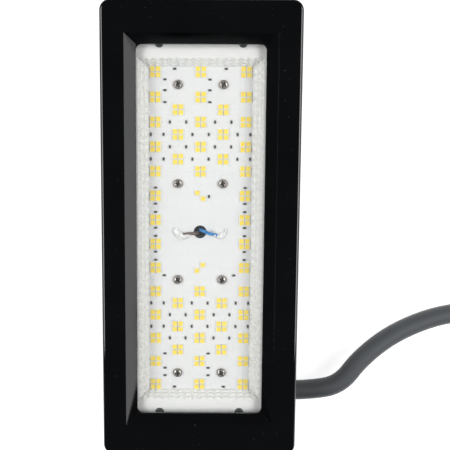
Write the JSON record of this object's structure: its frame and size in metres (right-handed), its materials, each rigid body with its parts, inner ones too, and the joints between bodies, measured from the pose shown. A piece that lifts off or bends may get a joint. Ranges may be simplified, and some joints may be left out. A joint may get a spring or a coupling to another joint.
{
  "type": "led grow light",
  "caption": "Slim sealed LED grow light with a black framed window over a white LED board, finned back, tilting yoke and a heavy supply cord with plug.",
  "frame": {"origin": "on the surface the lamp lies on, under the middle of the lamp without its cord", "axes": "+X across the lamp, towards the cable gland; +Y along the lamp; +Z out of the light window"},
  "size_m": [0.423, 0.2559, 0.054],
  "materials": {
    "frame_black": "high-gloss black stove enamel on die-cast aluminium",
    "cover_glass": "clear toughened glass",
    "silicone_gasket": "soft matt silicone",
    "reflector_white": "white moulded polycarbonate, satin",
    "black_screw": "black oxide",
    "board_white": "white solder resist on an aluminium-core board",
    "led_phosphor": "yellow phosphor silicone in a white package",
    "chip_black": "dark chip resistor body with tinned ends",
    "nickel_screw": "nickel-plated, satin",
    "pad_grey": "heat-conducting silicone sheet",
    "grommet_black": "matt black rubber",
    "wire_brown_pvc": "brown wire insulation",
    "wire_blue_pvc": "blue wire insulation",
    "wire_earth_pvc": "green and yellow wire insulation",
    "silicone_white": "milky translucent silicone sealant",
    "housing_black": "black powder coat on die-cast aluminium, fine texture",
    "driver_green": "green glass-fibre board",
    "driver_core": "ferrite core with yellow tape",
    "capacitor_can": "aluminium can in a dark sleeve",
    "capacitor_box": "yellow film capacitor box",
    "terminal_white": "white polyamide",
    "gland_plastic": "black polyamide, satin",
    "cord_rubber": "dark grey rubber sheath, satin",
    "plug_rubber": "dark grey moulded rubber",
    "plug_metal": "nickel-plated brass",
    "yoke_paint": "black powder coat on steel",
    "bolt_steel": "stainless steel"
  },
  "bodies": {
    "lamp": {"front_frame": "frame_black", "glass": "cover_glass", "glass_gasket": "silicone_gasket", "glass_seat": "silicone_gasket", "cover_gasket": "silicone_gasket", "gland_ring": "silicone_gasket", "gland_seal": "silicone_gasket", "reflector": "reflector_white", "reflector_screws": "black_screw", "frame_screws": "black_screw", "led_board": "board_white", "led_packages": "led_phosphor", "board_resistors": "chip_black", "board_screws": "nickel_screw", "driver_screws": "nickel_screw", "cover_screws": "nickel_screw", "thermal_pad": "pad_grey", "wire_grommet": "grommet_black", "wire_brown": "wire_brown_pvc", "core_brown": "wire_brown_pvc", "wire_blue": "wire_blue_pvc", "core_blue": "wire_blue_pvc", "core_earth": "wire_earth_pvc", "silicone_brown": "silicone_white", "silicone_blue": "silicone_white", "tray": "housing_black", "heat_sink": "housing_black", "driver_cover": "housing_black", "driver_board": "driver_green", "driver_transformer": "driver_core", "driver_choke": "driver_core", "driver_capacitors": "capacitor_can", "driver_film_capacitor": "capacitor_box", "terminal_block": "terminal_white", "gland_body": "gland_plastic", "gland_nut": "gland_plastic", "cord_inner": "cord_rubber", "cord_lead": "cord_rubber", "cord_coil": "cord_rubber", "cord_tail": "cord_rubber", "plug_boot": "plug_rubber", "plug_body": "plug_rubber", "plug_pins": "plug_metal", "plug_earth_clips": "plug_metal", "pivot_bolts": "bolt_steel", "friction_washers": "bolt_steel", "spring_washers": "bolt_steel"},
    "yoke": {"yoke_base": "yoke_paint", "yoke_arms": "yoke_paint"}
  },
  "joints": [
    {"name": "yoke_tilt", "type": "hinge", "parent": "lamp", "child": "yoke", "pos_m": [0, 0, 0.02], "axis": [0, -1, 0], "range_deg": [0, 135]}
  ]
}
